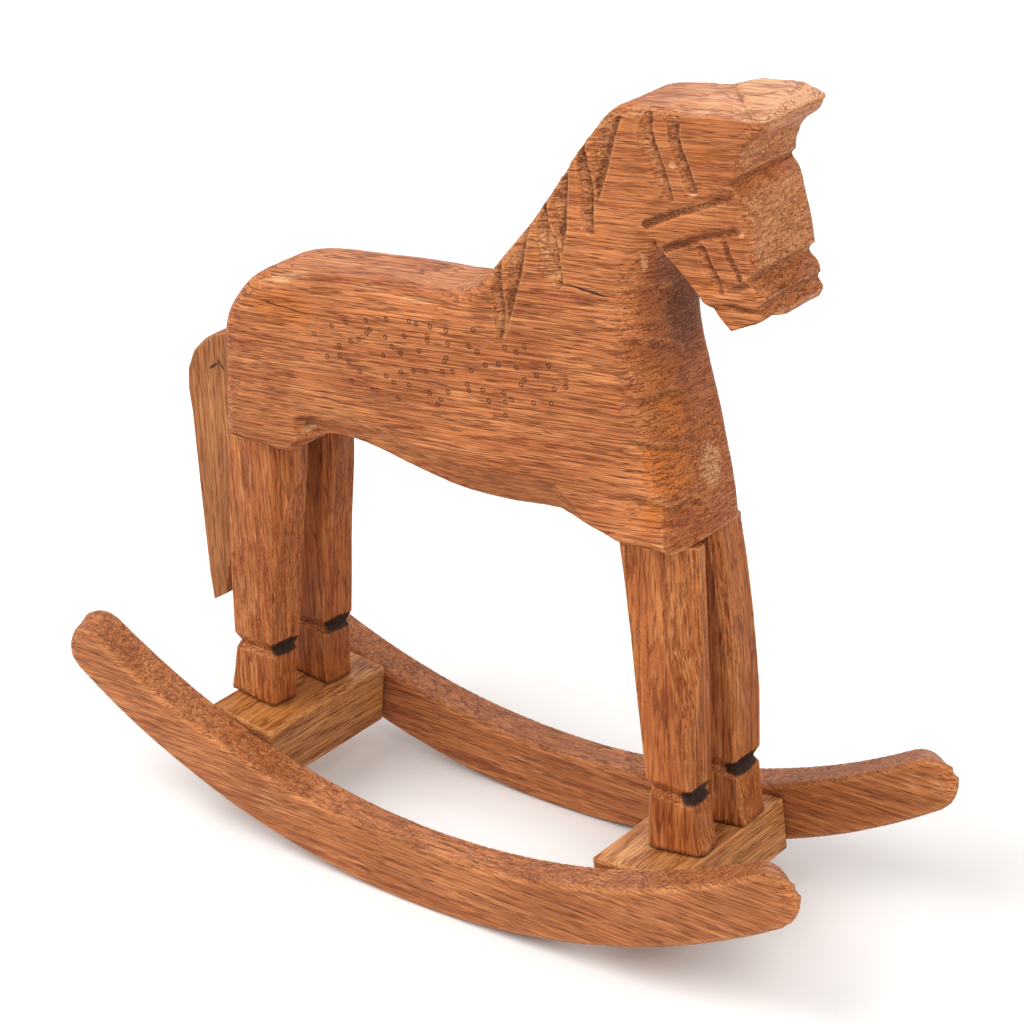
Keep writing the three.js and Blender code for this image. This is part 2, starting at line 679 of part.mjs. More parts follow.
function addPiece(name, geometry, color) {
  const material = new THREE.MeshStandardMaterial({ color, roughness: 0.55, metalness: 0 });
  const mesh = new THREE.Mesh(geometry, material);
  mesh.name = name;
  model.add(mesh);
}

addPiece('horse_body', horse(), stainedWood);
addPiece('tail', tail(), paleWood);
for (const leg of legs) addPiece(leg.name, legSolid(leg), stainedWood);
addPiece('rear_cross_block', crossBlock(rearBlock), paleWood);
addPiece('front_cross_block', crossBlock(frontBlock), paleWood);
addPiece('right_rocker', rocker(-1, rightRockerLead), rockerWood);
addPiece('left_rocker', rocker(1, leftRockerLead), rockerWood);

export default model;
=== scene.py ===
import itertools
import math

import bpy
import numpy as np
from mathutils import Matrix, Vector


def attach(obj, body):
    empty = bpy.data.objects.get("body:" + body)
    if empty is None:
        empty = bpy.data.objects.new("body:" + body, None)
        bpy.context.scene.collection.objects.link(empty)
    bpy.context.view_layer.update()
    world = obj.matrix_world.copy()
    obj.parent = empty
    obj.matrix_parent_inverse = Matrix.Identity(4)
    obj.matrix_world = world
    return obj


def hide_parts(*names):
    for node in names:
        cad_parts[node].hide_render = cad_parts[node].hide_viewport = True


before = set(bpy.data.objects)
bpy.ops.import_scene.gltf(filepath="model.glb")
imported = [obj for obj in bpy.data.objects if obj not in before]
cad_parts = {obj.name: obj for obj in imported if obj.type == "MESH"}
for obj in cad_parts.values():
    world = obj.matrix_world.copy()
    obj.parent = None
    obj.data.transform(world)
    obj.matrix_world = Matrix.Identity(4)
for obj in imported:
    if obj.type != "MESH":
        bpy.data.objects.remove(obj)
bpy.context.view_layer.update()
bpy.ops.object.select_all(action="DESELECT")
scene = bpy.context.scene
mm = 0.001


# Camera, at the photograph's viewing angle

camera = {
    "azimuth": 38.05,        # degrees round from the horse's right side towards its head
    "elevation": 24.47,
    "roll": -2.07,
    "distance": 762.8,       # mm from the target
    "target": (5.57, 4.41, 99.01),
    "lens": 104.0,
}


def placeCamera():
    azimuth, elevation, roll = (math.radians(camera[k]) for k in ("azimuth", "elevation", "roll"))
    back = Vector((
        math.sin(azimuth) * math.cos(elevation),
        -math.cos(azimuth) * math.cos(elevation),
        math.sin(elevation),
    ))
    right = (-back).cross(Vector((0, 0, 1))).normalized()
    up = right.cross(-back)
    turnedRight = math.cos(roll) * right + math.sin(roll) * up
    turnedUp = math.cos(roll) * up - math.sin(roll) * right
    bpy.ops.object.camera_add()
    made = bpy.context.object
    made.data.lens = camera["lens"]
    made.data.sensor_width = 36
    made.data.clip_start = 10 * mm
    place = (Vector(camera["target"]) + back * camera["distance"]) * mm
    turn = Matrix((turnedRight, turnedUp, back)).transposed().to_4x4()
    made.matrix_world = Matrix.Translation(place) @ turn
    scene.camera = made


placeCamera()
print("camera placed")


# Room: a pale floor, white walls of light and two wide soft lamps

room = {
    "floorColor": "#e9e8e6",
    "skyColor": "#ffffff",
    "skyStrength": 0.55,
    "floorSize": 6000,
    "lamps": (    # name, where it shines from, strength
        ("key lamp", (-0.45, -0.62, 0.8), 2.5),
        ("front lamp", (0.8, -0.3, 0.75), 1.5),
        ("back lamp", (-0.3, 0.85, 0.5), 1.0),
    ),
    "lampWidth": 50,         # degrees of the sky that a lamp covers
}


def linearColor(hexColor):
    parts = [int(hexColor[i:i + 2], 16) / 255 for i in (1, 3, 5)]
    return [p / 12.92 if p <= 0.04045 else ((p + 0.055) / 1.055) ** 2.4 for p in parts] + [1]


def addNode(tree, kind, settings=None, links=None):
    made = tree.nodes.new(kind)
    for key, value in (settings or {}).items():
        if isinstance(key, str) and hasattr(made, key):
            setattr(made, key, value)
        else:
            made.inputs[key].default_value = value
    for key, source in (links or {}).items():
        tree.links.new(source, made.inputs[key])
    return made


def softLamp(name, place, power):
    bpy.ops.object.light_add(type="SUN")
    lamp = bpy.context.object
    lamp.name = name
    lamp.data.angle = math.radians(room["lampWidth"])
    lamp.data.energy = power
    lamp.rotation_euler = Vector(place).to_track_quat("Z", "Y").to_euler()


def buildRoom():
    scene.view_settings.view_transform = "Standard"
    world = bpy.data.worlds.new("white room")
    scene.world = world
    world.use_nodes = True
    sky = world.node_tree.nodes["Background"]
    sky.inputs["Color"].default_value = linearColor(room["skyColor"])
    sky.inputs["Strength"].default_value = room["skyStrength"]
    bpy.ops.mesh.primitive_plane_add(size=room["floorSize"] * mm)
    floor = bpy.context.object
    floor.name = "floor"
    paint = bpy.data.materials.new("matt white paper")
    paint.use_nodes = True
    shader = paint.node_tree.nodes["Principled BSDF"]
    shader.inputs["Base Color"].default_value = linearColor(room["floorColor"])
    shader.inputs["Roughness"].default_value = 0.9
    shader.inputs["Specular IOR Level"].default_value = 0.1
    floor.data.materials.append(paint)
    for name, place, power in room["lamps"]:
        softLamp(name, place, power)


buildRoom()
print("room built")


# Reading and shaping a mesh, in millimetres

def readPoints(piece, what="co"):
    flat = np.empty(len(piece.data.vertices) * 3)
    piece.data.vertices.foreach_get(what, flat)
    return flat.reshape(-1, 3) / (mm if what == "co" else 1)


def lumps(points, size, seed):    # smooth noise from 0 to 1, its lumps about size mm across
    scaled = points / np.array(size) + 31.7 * seed
    cell = np.floor(scaled).astype(np.int64)
    part = scaled - cell
    part = part * part * (3 - 2 * part)
    total = np.zeros(len(points))
    for corner in itertools.product((0, 1), repeat=3):
        key = (cell + corner) @ np.array([73856093, 19349663, 83492791]) + seed * 7919
        key = (key ^ (key >> 15)) * 2246822519 & 0xffffffff
        key = (key ^ (key >> 13)) * 3266489917 & 0xffffffff
        value = ((key ^ (key >> 16)) & 0xffff) / 65535
        total += np.prod(np.where(corner, part, 1 - part), axis=1) * value
    return total


def writePoints(piece, points):
    piece.data.vertices.foreach_set("co", (points * mm).ravel())
    piece.data.update()


def sinkIn(piece, depth):    # moves each point inwards, so that the piece stays in its own form
    writePoints(piece, readPoints(piece) - readPoints(piece, "normal") * depth[:, None])


def ramp(value, low, high):
    return np.clip((value - low) / (high - low), 0, 1)


def carvedCopy(node, voxel):    # an even, closed mesh that lies on the faces of a CAD node
    bpy.ops.object.select_all(action="DESELECT")
    form = bpy.data.objects.new(node + "_form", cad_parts[node].data.copy())
    form.data.materials.clear()
    scene.collection.objects.link(form)
    bpy.context.view_layer.objects.active = form
    form.select_set(True)
    bpy.ops.object.mode_set(mode="EDIT")
    bpy.ops.mesh.select_all(action="SELECT")
    bpy.ops.mesh.remove_doubles(threshold=0.002 * mm)
    bpy.ops.object.mode_set(mode="OBJECT")
    bpy.ops.object.duplicate()
    piece = bpy.context.object
    piece.name = node + "_carved"
    remesh = piece.modifiers.new("fine mesh", "REMESH")
    remesh.mode = "VOXEL"
    remesh.voxel_size = voxel * mm
    bpy.ops.object.modifier_apply(modifier=remesh.name)
    snap = piece.modifiers.new("on the form", "SHRINKWRAP")
    snap.target = form
    bpy.ops.object.modifier_apply(modifier=snap.name)
    bpy.data.objects.remove(form)
    return piece


def meshEdges(piece):
    ends = np.empty(len(piece.data.edges) * 2, dtype=np.int64)
    piece.data.edges.foreach_get("vertices", ends)
    return ends.reshape(-1, 2).T


def soften(piece, mask, rounds):    # rounds off edges where the mask is above 0
    a, b = meshEdges(piece)
    points = readPoints(piece)
    count = len(points)
    near = (np.bincount(a, minlength=count) + np.bincount(b, minlength=count))[:, None]
    for _ in range(rounds):
        spread = np.stack([
            np.bincount(a, points[b, k], count) + np.bincount(b, points[a, k], count) for k in range(3)
        ], axis=1)
        points += mask[:, None] * 0.7 * (spread / near - points)
    writePoints(piece, points)


nowhere = 999    # mm, a height that no part reaches


def alongX(points, values, pick, start):    # the least or greatest value near each place along X
    bins = np.clip(((points[:, 0] + 130) / 1.5).astype(int), 0, 179)
    found = np.full(180, start, dtype=float)
    pick.at(found, bins, values)
    return found[bins]


# How far inside a region each point is, from 0 to 1. A region is a row of fades: an axis, the
# place along it where the region is nothing and the place where it is full.
def regionMask(points, region):
    total = np.ones(len(points))
    for axis, none, full in region:
        total *= ramp(points[:, "xyz".index(axis)], none, full)
    return total


def paint(layers, name, mask):    # a layer keeps the stronger of what it had and the mask
    layers[name] = np.maximum(layers.get(name, 0), mask)


def storeLayer(piece, name, values):
    layer = piece.data.attributes.new(name, "FLOAT", "POINT")
    layer.data.foreach_set("value", values.astype(np.float32))


# Painted patches: each spot is a place, its reach along, across and up, a turn about Y in
# degrees and a strength
def spotMask(points, spots):
    total = np.zeros(len(points))
    for place, size, turn, strength in spots:
        offset = points - np.array(place)
        angle = math.radians(turn)
        along = offset[:, 0] * math.cos(angle) + offset[:, 2] * math.sin(angle)
        up = offset[:, 2] * math.cos(angle) - offset[:, 0] * math.sin(angle)
        reach = np.sqrt((along / size[0]) ** 2 + (offset[:, 1] / size[1]) ** 2 + (up / size[2]) ** 2)
        total = np.maximum(total, strength * np.clip(1.6 * (1 - reach), 0, 1))
    return total


def markWear(piece, rounds, share):    # how far a point stands out of its neighbours, from -1 to 1
    a, b = meshEdges(piece)
    points = readPoints(piece)
    count = len(points)
    normals = readPoints(piece, "normal")
    step = points[b] - points[a]
    length = np.linalg.norm(step, axis=1) + 1e-9
    near = np.bincount(a, minlength=count) + np.bincount(b, minlength=count)
    bend = np.bincount(b, np.einsum("ij,ij->i", step, normals[b]) / length, count)
    bend -= np.bincount(a, np.einsum("ij,ij->i", step, normals[a]) / length, count)
    bend /= near
    for _ in range(rounds):
        spread = np.bincount(a, bend[b], count) + np.bincount(b, bend[a], count)
        bend = (bend + spread / near) / 2
    storeLayer(piece, "wear", np.clip(bend * 4, -1, 1) * share)


# Stained hardwood: open pores along the grain that show as dots on end grain, a thin stain
# that gathers in the cuts, and pale wood where a blade or a thumb took the stain off

stainedWood = {
    "light": "#d48a54",
    "middle": "#b96a38",
    "dark": "#74300c",
    "ochre": "#c4702e",
    "worn": "#d9945a",
    "pale": "#dea576",
    "deep": "#4c1d08",
    "end": "#9a4f22",
    "pore": "#4e1f09",
    "burn": "#150b06",
    "layers": "Z",           # axis across the growth layers
    "spread": 7,             # how much wider than thick a layer's pattern is
    "tilt": 0,               # degrees that the grain turns about Y
    "line": 1.05,            # mm, about twice the gap between the dark lines of late wood
    "fibre": 0.36,           # drawn coarser than the real 0.1 mm, which no picture shows
    "poreLength": 10.0,      # mm along the grain
    "poreGap": 0.62,         # mm between pores
    "streak": 3.6,           # mm across a light or dark streak
    "blotch": 20,            # mm across a patch of stain
    "knotGap": 4.8,          # mm between pin knots
    "strength": {            # how far each pattern takes the colour to its own
        "streak": 0.9, "blotch": 0.35, "end": 0.5, "ochre": 0.8, "pale": 0.8, "line": 0.8,
        "fibre": 0.42, "worn": 0.4, "dark": 0.6, "deep": 0.65, "pore": 0.75, "knot": 0.8,
        "crack": 0.92, "burn": 0.93,
    },
    "relief": 0.16,          # mm, depth of the pores and lines
    "roughness": (0.4, 0.7),     # a thin satin stain, duller in the pores and on torn grain
    "cracks": (),
}


def hardwood(name, look, grain, offset=(0, 0, 0)):
    material = bpy.data.materials.new(name)
    material.use_nodes = True
    tree = material.node_tree
    shader = tree.nodes["Principled BSDF"]
    strength = look["strength"]
    axis = "XYZ".index(grain)
    place = addNode(tree, "ShaderNodeTexCoord")
    inMm = addNode(tree, "ShaderNodeMapping", {"Scale": (1 / mm,) * 3}, {
        "Vector": place.outputs["Object"],
    })
    moved = addNode(tree, "ShaderNodeMapping", {
        "Location": offset, "Rotation": (0, math.radians(look["tilt"]), 0),
    }, {"Vector": inMm.outputs[0]})

    def stretched(thick, along, spread=1):    # coordinates in units of one pattern cell
        scale = [1 / (thick * spread)] * 3
        scale["XYZ".index(look["layers"])] = 1 / thick
        scale[axis] = 1 / along
        made = addNode(tree, "ShaderNodeMapping", {"Scale": scale}, {"Vector": moved.outputs[0]})
        return made.outputs[0]

    def noiseOn(source, detail=3, distortion=0.0):
        return addNode(tree, "ShaderNodeTexNoise", {
            "Scale": 1, "Detail": detail, "Roughness": 0.6, "Distortion": distortion,
        }, {"Vector": source}).outputs["Fac"]

    def ranged(value, low, high, toLow=0.0, toHigh=1.0):
        return addNode(tree, "ShaderNodeMapRange", {
            "From Min": low, "From Max": high, "To Min": toLow, "To Max": toHigh,
        }, {"Value": value}).outputs[0]

    def joined(operation, first, second):
        made = addNode(tree, "ShaderNodeMath", {"operation": operation})
        for socket, value in ((0, first), (1, second)):
            if isinstance(value, (int, float)):
                made.inputs[socket].default_value = value
            else:
                tree.links.new(value, made.inputs[socket])
        return made.outputs[0]

    def toward(color, key, factor):
        made = addNode(tree, "ShaderNodeMix", {"data_type": "RGBA", 7: linearColor(look[key])})
        tree.links.new(factor, made.inputs[0])
        tree.links.new(color, made.inputs[6])
        return made.outputs[2]

    def layer(name):
        return addNode(tree, "ShaderNodeAttribute", {"attribute_name": name}).outputs["Fac"]

    ragged = noiseOn(stretched(1.2, 7), 4)
    grit = noiseOn(stretched(0.6, 0.9), 3)

    def edged(name, width=1.8):    # a painted patch with a ragged edge
        wide = joined("MULTIPLY_ADD", ragged, width)
        wide.node.inputs[2].default_value = -width / 2
        soft = joined("ADD", layer(name), wide)
        return ranged(joined("MULTIPLY", soft, ranged(layer(name), 0, 0.2)), 0.25, 0.75)

    # broad streaks and patches where the stain took more or less
    streaks = ranged(noiseOn(stretched(look["streak"], look["streak"] * 14, 2), 4, 0.4), 0.32, 0.68)
    blotches = ranged(noiseOn(stretched(look["blotch"], look["blotch"] * 1.6), 4), 0.42, 0.66)
    # dark lines of late wood, long on a face and across on end grain, and finer fibres between
    layered = noiseOn(stretched(look["line"], look["line"] * 42, look["spread"]), 3, 0.1)
    lines = ranged(joined("ABSOLUTE", joined("SUBTRACT", layered, 0.5), 0), 0.01, 0.034, 1, 0)
    fibres = ranged(noiseOn(stretched(look["fibre"], look["fibre"] * 34, 1.8), 2), 0.46, 0.56)
    # open pores, short dark slots on a face and dots on end grain
    pores = addNode(tree, "ShaderNodeTexVoronoi", {"Scale": 1}, {
        "Vector": stretched(look["poreGap"], look["poreLength"]),
    })
    poreMask = ranged(pores.outputs["Distance"], 0.15, 0.25, 1.0, 0.0)
    facing = addNode(tree, "ShaderNodeSeparateXYZ", None, {0: place.outputs["Normal"]}).outputs[axis]
    endGrain = ranged(joined("ABSOLUTE", facing, 0), 0.55, 0.95)

    color = addNode(tree, "ShaderNodeRGB").outputs[0]
    color.default_value = linearColor(look["middle"])
    color = toward(color, "light", joined("MULTIPLY", streaks, strength["streak"]))
    color = toward(color, "dark", joined("MULTIPLY", blotches, strength["blotch"]))
    color = toward(color, "end", joined("MULTIPLY", endGrain, strength["end"]))
    color = toward(color, "ochre", joined("MULTIPLY", edged("ochre", 0.8), strength["ochre"]))
    color = toward(color, "pale", joined("MULTIPLY", edged("pale", 1.2), strength["pale"]))
    pared = ranged(layer("pared"), 0, 1, 1, 0.15)    # burnished by the knife, so its lines are faint
    for pattern, name in ((lines, "line"), (fibres, "fibre")):
        shown = joined("MULTIPLY", joined("MULTIPLY", pattern, strength[name]), pared)
        color = toward(color, "dark", shown)
    color = toward(color, "worn", ranged(layer("wear"), 0.12, 0.7, 0, strength["worn"]))
    color = toward(color, "deep", joined("MULTIPLY", edged("dark"), strength["dark"]))
    color = toward(color, "deep", ranged(layer("wear"), -0.12, -0.6, 0, strength["deep"]))
    # torn grain: specks of pale fibre and dark hollows
    torn = layer("torn")
    color = toward(color, "worn", joined("MULTIPLY", torn, ranged(grit, 0.5, 0.62, 0, 0.5)))
    color = toward(color, "dark", joined("MULTIPLY", torn, ranged(grit, 0.48, 0.38, 0, 0.8)))
    color = toward(color, "pore", joined("MULTIPLY", poreMask, strength["pore"]))

    # pin knots, a dark ring where a twig began
    sideways = addNode(tree, "ShaderNodeMapping", {
        "Rotation": (math.pi / 2, 0, 0), "Scale": (1 / look["knotGap"],) * 3,
    }, {"Vector": moved.outputs[0]})
    knots = addNode(tree, "ShaderNodeTexVoronoi", {
        "voronoi_dimensions": "2D", "Scale": 1, "Randomness": 1.0,
    }, {"Vector": sideways.outputs[0]}).outputs["Distance"]
    ring = ranged(joined("ABSOLUTE", joined("SUBTRACT", knots, 0.11), 0), 0.02, 0.06, 1, 0)
    knotMask = joined("MULTIPLY", ring, ranged(layer("knots"), 0.3, 0.6))
    color = toward(color, "deep", joined("MULTIPLY", knotMask, strength["knot"]))

    # drying cracks: place, half length, half width and turn about Y
    cracked = None
    for spot, long, wide, turn in look["cracks"]:
        local = addNode(tree, "ShaderNodeMapping", {
            "vector_type": "TEXTURE", "Location": spot,
            "Rotation": (0, -math.radians(turn), 0), "Scale": (long, 4, wide),
        }, {"Vector": addNode(tree, "ShaderNodeVectorMath", {"operation": "MULTIPLY_ADD", 1: (0, 0, 1)}, {
            0: joined("MULTIPLY", ranged(ragged, 0, 1, -1, 1), 0.6), 2: inMm.outputs[0],
        }).outputs[0]})
        ball = addNode(tree, "ShaderNodeTexGradient", {"gradient_type": "SPHERICAL"}, {
            0: local.outputs[0],
        })
        mask = ranged(ball.outputs["Fac"], 0.0, 0.35)
        cracked = mask if cracked is None else joined("MAXIMUM", cracked, mask)
    if cracked is not None:
        color = toward(color, "burn", joined("MULTIPLY", cracked, strength["crack"]))

    color = toward(color, "burn", joined("MULTIPLY", edged("burnt", 0.9), strength["burn"]))
    tree.links.new(color, shader.inputs["Base Color"])

    height = joined("MULTIPLY_ADD", poreMask, -1)
    tree.links.new(joined("MULTIPLY", fibres, -0.7), height.node.inputs[2])
    height = joined("SUBTRACT", height, lines)
    height = joined("ADD", height, joined("MULTIPLY", joined("MULTIPLY", torn, grit), 5.0))
    height = joined("SUBTRACT", height, knotMask)
    bump = addNode(tree, "ShaderNodeBump", {"Strength": 0.8, "Distance": look["relief"] * mm}, {
        "Height": height,
    })
    tree.links.new(bump.outputs[0], shader.inputs["Normal"])
    shader.inputs["Specular IOR Level"].default_value = 0.2
    dull = joined("MAXIMUM", joined("MULTIPLY", fibres, 0.6), torn)
    tree.links.new(ranged(dull, 0, 1, *look["roughness"]), shader.inputs["Roughness"])
    return material


def finish(piece, material, node, layers):
    for name in ("pale", "ochre", "dark", "torn", "burnt", "knots", "pared"):
        storeLayer(piece, name, layers.get(name, np.zeros(len(piece.data.vertices))))
    markWear(piece, 1, layers.get("wear", 1))
    piece.data.materials.append(material)
    for polygon in piece.data.polygons:
        polygon.use_smooth = True
    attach(piece, "root")
    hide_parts(node)
    print(node, len(piece.data.polygons))


# Horse

horse = {
    "voxel": 0.72,
    "waviness": 0.3,         # mm, the unevenness that scraping left
    "fineWaviness": 0.08,    # mm
    "faceWaviness": 0.5,     # mm, on the face and under the forelock
    "facet": {               # knife facets down the chest's right edge
        "height": 13.5,      # mm
        "depth": 1.3,        # mm
        "lean": 0.35,        # mm of rise for each mm across
        "drift": 5,          # mm that the steps wander
        "peak": 0.84,        # where in its height a facet is deepest
    },
    "tornDepth": 0.5,        # mm
    "bellyChamfer": (9, 3.0),    # mm, how far up the side and in from below it reaches
    "lowerPart": 130,        # mm, height under which the lower edges are looked for
    "bellyInner": 9,         # mm to each side of the middle, where the belly is flat
    "gluedEdge": (4, 0.3),   # mm of edge over a leg, and how much of its rounding is taken back
    "contact": (0.8, 1.6, 116),  # mm over a glued face where nothing is sunk in, and its height
    "halfWidth": ((143, 194), (15.7, 13.8)),     # heights, and half the plank's thickness there
    "cutFloor": (0.35, 1.0, 2.6, 3.2),           # mm under the side: a cut's floor, from and to
    "crease": {"x": 79.6, "slope": 0.88, "step": 0.5},    # slanting edge across the head's top
    "forelockDrop": (1.3, 0.9),                  # mm, of its underside and of its tip
    "rounds": {"chest": 24, "poll": 12},         # how often an edge is smoothed
    "share": {               # how strongly each place is painted
        "cutPale": 0.45, "facePale": 0.45, "faceOchre": 0.5, "chamferDark": 0.42,
        "chamferPared": 0.7, "headPared": 0.3, "faceWear": 0.35, "pollPale": 0.45,
        "forelockPale": 1.75,
    },
    "regions": {
        "chestCorner": (("x", 50, 56), ("y", -2, -6), ("z", 112, 120), ("z", 190, 182)),
        "jaw": (("x", 61.5, 63), ("z", 156, 160)),
        "poll": (("x", 62, 66), ("x", 84, 80), ("z", 216.5, 218.5)),
        "rearLegs": (("x", -77, -74), ("x", -49, -52)),
        "frontLegs": (("x", 50, 52), ("x", 59, 55)),
        "betweenLegs": (("x", -49, -45), ("x", 48, 34)),
        "forelockUnder": (("x", 89, 94), ("z", 211, 214), ("z", 220.5, 219.5)),
        "forelockTip": (("x", 89, 97.5), ("z", 215, 221)),
        "mane": (("x", 12, 16), ("x", 80, 76), ("z", 150, 156), ("z", 222.2, 220.5)),
        "throat": (("x", 44, 48), ("z", 194, 190)),
        "head": (("x", 48, 56), ("z", 188, 196)),
        "headTop": (("z", 219.5, 220.8),),
        "face": (("x", 82, 86),),
        "faceCuts": (("x", 80, 86),),
        "faceBelow": (("x", 78, 86), ("z", 219, 216)),
        "facets": (("x", 54, 60), ("y", 2, -4), ("z", 186, 176)),
        "facetsBareAndLit": (("x", 59, 62), ("y", 1, -2)),
    },
    "pale": (
        ((-25, -12.5, 160), (10, 3, 1.5), 4, 0.6),
        ((-8, -12.5, 160), (8, 3, 1.2), 4, 0.55),
        ((-49, -12.5, 159), (17, 4, 2.4), 22, 0.8),
        ((67, 5, 127), (6, 6, 8), 0, 0.9),
        ((60, -12, 182), (1.3, 2.5, 5), 0, 0.8),
        ((32.5, -14.5, 181), (2.4, 3, 9), 12, 0.9),
        ((75, -6, 221.5), (7, 9, 3), 0, 0.6),
        ((89.5, -2, 218.5), (4, 16, 1.6), 0, 0.7),
        ((86, -4, 212.5), (4, 10, 1.4), 0, 0.8),
        ((94, -4, 183), (5, 12, 3), 0, 0.5),
        ((95, 0, 222), (3, 14, 3), 0, 0.8),
        ((-46, -15, 116.5), (3.6, 2.5, 1.6), 30, 1.2),
        ((68.9, -13.8, 219.3), (0.7, 1.5, 0.8), 20, 2.5),
        ((69.3, -13.8, 208.1), (1.0, 1.5, 1.1), 30, 2.5),
        ((74.4, -13.8, 201.7), (1.2, 1.5, 0.7), 10, 2),
        ((87.6, -13.8, 194.8), (0.8, 1.5, 0.7), 0, 2),
    ),
    "ochre": (
        ((63, -9, 182), (5, 5, 14), 0, 0.6),
        ((-52, -15.7, 150), (15, 3, 6), 3, 1.1),
        ((46, -15, 190), (6, 2, 16), 25, 0.7),
        ((78, -13.8, 211), (8, 2, 6), 0, 0.5),
    ),
    "dark": (
        ((92, -12.5, 217), (2.4, 3, 1.2), 30, 0.9),
        ((89, -13, 215), (2.5, 3, 1.0), -20, 0.8),
        # the next spot darkens the throat under the jaw: painted shade where it faces downward
        ((60, 5, 168), (5, 12, 20), 0, 0.85),
        ((45, -15.7, 172), (16, 3, 5), 10, 0.4),
        ((62, -14, 200), (12, 3, 14), 0, 0.3),
        ((22, -15.7, 170), (24, 3, 12), 30, 0.35),
        ((-46, -15.5, 119.8), (6, 3, 1.2), 0, 0.9),
        ((2, -14, 112), (70, 4, 3), 0, 0.3),
        ((87, 0, 209), (6, 16, 2.5), 0, 0.4),
        ((56, -15, 160), (5, 3, 22), 0, 0.4),
    ),
    "torn": (
        ((66, 4, 131), (5, 11, 15), 0, 0.8),
        ((61, 4, 172), (4, 12, 14), 0, 0.5),
        ((88, 0, 213), (8, 17, 6), 0, 0.9),
        ((92, -4, 182), (8, 14, 8), 0, 0.6),
        ((92, 0, 200), (5, 16, 10), 0, 0.35),
        ((91, -12, 218.5), (5, 5, 4), 0, 1.0),
        ((84, -14, 198), (14, 3, 12), 0, 0.3),
    ),
    "knots": (((-1, -15.7, 145), (52, 6, 15), 4, 1.6),),
    "scoops": (              # shallow gouges, their strength in mm
        ((73.5, -9, 221.5), (7, 5, 4), 0, 0.5),
        ((92, -8, 205), (6, 9, 3.5), 0, 0.6),
        ((93, 4, 197), (6, 9, 3.5), 0, 0.6),
        ((93, -8, 190), (6, 9, 3), 0, 0.5),
        ((60, -15, 201), (7, 3, 5), 30, 0.4),
        ((78, -13.8, 203), (6, 3, 4), 20, 0.5),
        ((62, -14, 178), (3, 4, 7), 0, 0.6),
        ((-44.5, -15.7, 116.5), (6.5, 4, 5), 0, 1.5),
    ),
    "look": {"tilt": 5, "cracks": (
        ((44.8, -15.4, 173.2), 7.6, 0.45, -3.5),
        ((-52, -15.4, 150.5), 9.0, 0.22, -2),
    )},
}


def inHorse(points, name):
    return regionMask(points, horse["regions"][name])


def bellyUnder(points):    # height of the underside at each point's place along X
    x, y, z = points.T
    return alongX(points, np.where(np.abs(y) < horse["bellyInner"], z, nowhere), np.minimum, nowhere)


def shapeHorse(piece):    # gives back how far each point is inside the belly's chamfer
    points = readPoints(piece)
    # chest, throat and poll are scraped round, and the jaw is left crisp
    soften(piece, inHorse(points, "chestCorner") * (1 - inHorse(points, "jaw")), horse["rounds"]["chest"])
    soften(piece, inHorse(points, "poll"), horse["rounds"]["poll"])
    points = readPoints(piece)
    normals = readPoints(piece, "normal")
    x, y, z = points.T
    # lower edges: squarer where a leg is glued on, a broad chamfer between the legs
    low = z < horse["lowerPart"]
    belly = bellyUnder(points)
    half = alongX(points, np.where(low, np.abs(y), 0), np.maximum, 0)
    rise = z - belly
    inset = half - np.abs(y)
    reach, share = horse["gluedEdge"]
    glued = np.maximum(inHorse(points, "rearLegs"), inHorse(points, "frontLegs"))
    shrink = 1 - share * glued * (rise < reach) * (inset < reach)
    sign = np.sign(y)
    y = np.where(shrink < 1, sign * (half - inset * shrink), y)
    z = np.where(shrink < 1, belly + rise * shrink, z)
    between = inHorse(points, "betweenLegs")
    high, deep = (between * size + 0.001 for size in horse["bellyChamfer"])
    inside = (between > 0) * low * np.maximum(1 - (z - belly) / high - (half - np.abs(y)) / deep, 0)
    y = y - sign * inside * deep * 0.9
    z = z + inside * deep * 0.3
    # the forelock's underside hangs and its tip is rounded down
    points = np.stack([x, y, z], axis=1)
    underDrop, tipDrop = horse["forelockDrop"]
    points[:, 2] -= underDrop * inHorse(points, "forelockUnder") * ramp(normals[:, 2], 0, -0.3)
    points[:, 2] -= tipDrop * inHorse(points, "forelockTip") ** 2
    writePoints(piece, points)
    return ramp(inside, 0.02, 0.12)


